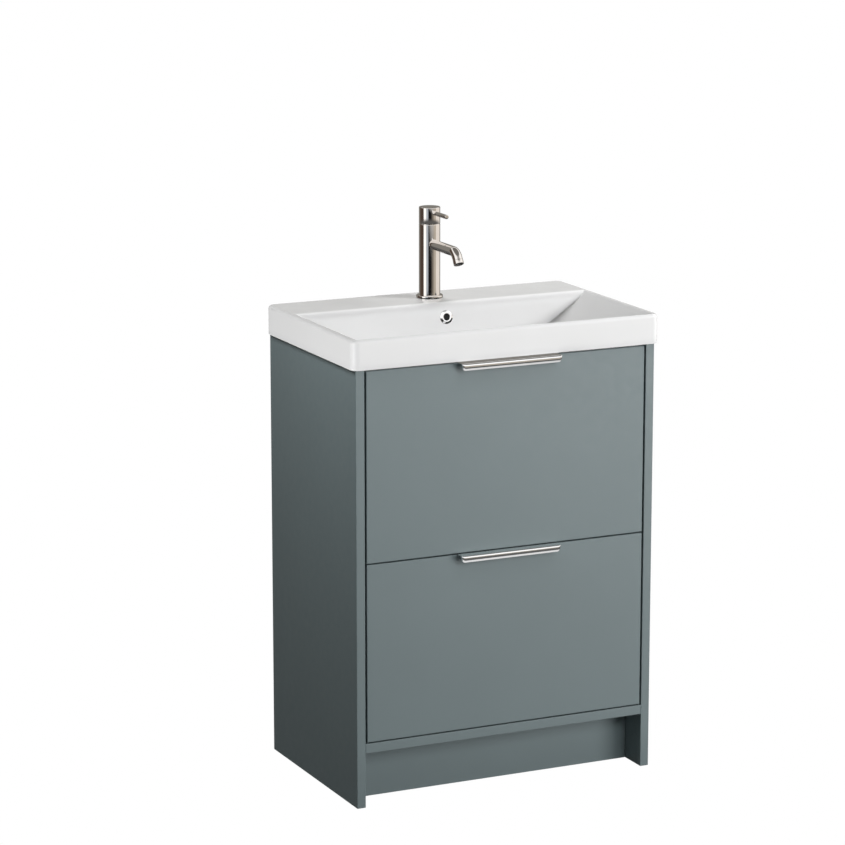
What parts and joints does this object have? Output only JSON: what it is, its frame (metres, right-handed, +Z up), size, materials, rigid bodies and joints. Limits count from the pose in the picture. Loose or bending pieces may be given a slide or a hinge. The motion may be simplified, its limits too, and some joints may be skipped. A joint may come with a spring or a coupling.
{
  "type": "bathroom vanity cabinet",
  "caption": "Floor-standing bathroom vanity with stacked inset drawers, slim chrome edge pulls, a ceramic basin top with rear tap ledge, and a tall cylindrical lever mixer tap.",
  "frame": {"origin": "on the floor, under the centre of the bounding box", "axes": "+Z up, front with the drawers towards -Y, +X to the right when seen from the front"},
  "size_m": [0.615, 0.411, 1.0364],
  "materials": {
    "lacquered_board": "satin grey-green lacquer on board",
    "white_board": "matt white melamine on chipboard",
    "drawer_bottom": "matt melamine on thin board",
    "zinc_steel": "zinc-plated pressed steel",
    "polished_chrome": "polished chrome plate",
    "white_ceramic": "gloss white glaze",
    "white_plastic": "smooth moulded",
    "brushed_nickel": "fine brushed warm nickel",
    "cartridge_plastic": "moulded, with ceramic discs inside",
    "spindle_brass": "turned"
  },
  "bodies": {
    "carcass": {"side_panel_left": "lacquered_board", "side_panel_right": "lacquered_board", "base_panel": "lacquered_board", "plinth_panel": "lacquered_board", "top_front_rail": "white_board", "mid_rail": "white_board", "top_back_rail": "white_board", "bottom_back_rail": "white_board", "corner_brackets": "zinc_steel", "lower_cabinet_runner_left": "zinc_steel", "lower_cabinet_runner_right": "zinc_steel", "upper_cabinet_runner_left": "zinc_steel", "upper_cabinet_runner_right": "zinc_steel", "basin": "white_ceramic", "overflow_ring": "polished_chrome", "waste_flange": "polished_chrome", "waste_body": "polished_chrome", "waste_nut": "white_plastic", "trap_body": "white_plastic", "trap_cup": "white_plastic", "trap_outlet": "white_plastic", "tap_base": "brushed_nickel", "tap_body": "brushed_nickel", "tap_spout": "brushed_nickel", "tap_aerator": "brushed_nickel", "tap_cartridge": "cartridge_plastic", "tap_fixing": "zinc_steel"},
    "lower_drawer": {"lower_front": "lacquered_board", "lower_box_left": "white_board", "lower_box_right": "white_board", "lower_box_front": "white_board", "lower_box_back": "white_board", "lower_box_bottom": "drawer_bottom", "lower_handle": "polished_chrome", "lower_screws": "zinc_steel", "lower_drawer_runner_left": "zinc_steel", "lower_drawer_runner_right": "zinc_steel"},
    "upper_drawer": {"upper_front": "lacquered_board", "upper_box_left": "white_board", "upper_box_right": "white_board", "upper_box_front": "white_board", "upper_box_back_left": "white_board", "upper_box_back_right": "white_board", "upper_box_bottom": "drawer_bottom", "cutout_wall_front": "white_board", "cutout_wall_left": "white_board", "cutout_wall_right": "white_board", "upper_handle": "polished_chrome", "upper_screws": "zinc_steel", "upper_drawer_runner_left": "zinc_steel", "upper_drawer_runner_right": "zinc_steel"},
    "lower_middle_left": {"lower_middle_runner_left": "zinc_steel"},
    "lower_middle_right": {"lower_middle_runner_right": "zinc_steel"},
    "upper_middle_left": {"upper_middle_runner_left": "zinc_steel"},
    "upper_middle_right": {"upper_middle_runner_right": "zinc_steel"},
    "waste_plug": {"waste_plug": "polished_chrome"},
    "mixer_swivel": {"tap_spindle": "spindle_brass"},
    "mixer_handle": {"tap_cap": "brushed_nickel", "tap_lever": "brushed_nickel"}
  },
  "joints": [
    {"name": "lower_drawer_slide", "type": "slide", "parent": "carcass", "child": "lower_drawer", "axis": [0, -1, 0], "range_m": [0, 0.3]},
    {"name": "lower_runner_slide_left", "type": "slide", "parent": "carcass", "child": "lower_middle_left", "axis": [0, -1, 0], "range_m": [0, 0.15]},
    {"name": "lower_runner_slide_right", "type": "slide", "parent": "carcass", "child": "lower_middle_right", "axis": [0, -1, 0], "range_m": [0, 0.15]},
    {"name": "upper_drawer_slide", "type": "slide", "parent": "carcass", "child": "upper_drawer", "axis": [0, -1, 0], "range_m": [0, 0.3]},
    {"name": "upper_runner_slide_left", "type": "slide", "parent": "carcass", "child": "upper_middle_left", "axis": [0, -1, 0], "range_m": [0, 0.15]},
    {"name": "upper_runner_slide_right", "type": "slide", "parent": "carcass", "child": "upper_middle_right", "axis": [0, -1, 0], "range_m": [0, 0.15]},
    {"name": "waste_plug_slide", "type": "slide", "parent": "carcass", "child": "waste_plug", "axis": [0, 0, 1], "range_m": [0, 0.008]},
    {"name": "mixer_swivel_hinge", "type": "hinge", "parent": "carcass", "child": "mixer_swivel", "pos_m": [0, 0.145, 1.005], "axis": [0, 0, 1], "range_deg": [-45, 45]},
    {"name": "mixer_lift_hinge", "type": "hinge", "parent": "mixer_swivel", "child": "mixer_handle", "pos_m": [0, 0.165, 1.005], "axis": [-1, 0, 0], "range_deg": [0, 20]}
  ],
  "couplings": [
    {"joint": "lower_runner_slide_left", "follows": "lower_drawer_slide", "ratio": 0.5},
    {"joint": "lower_runner_slide_right", "follows": "lower_drawer_slide", "ratio": 0.5},
    {"joint": "upper_runner_slide_left", "follows": "upper_drawer_slide", "ratio": 0.5},
    {"joint": "upper_runner_slide_right", "follows": "upper_drawer_slide", "ratio": 0.5}
  ]
}
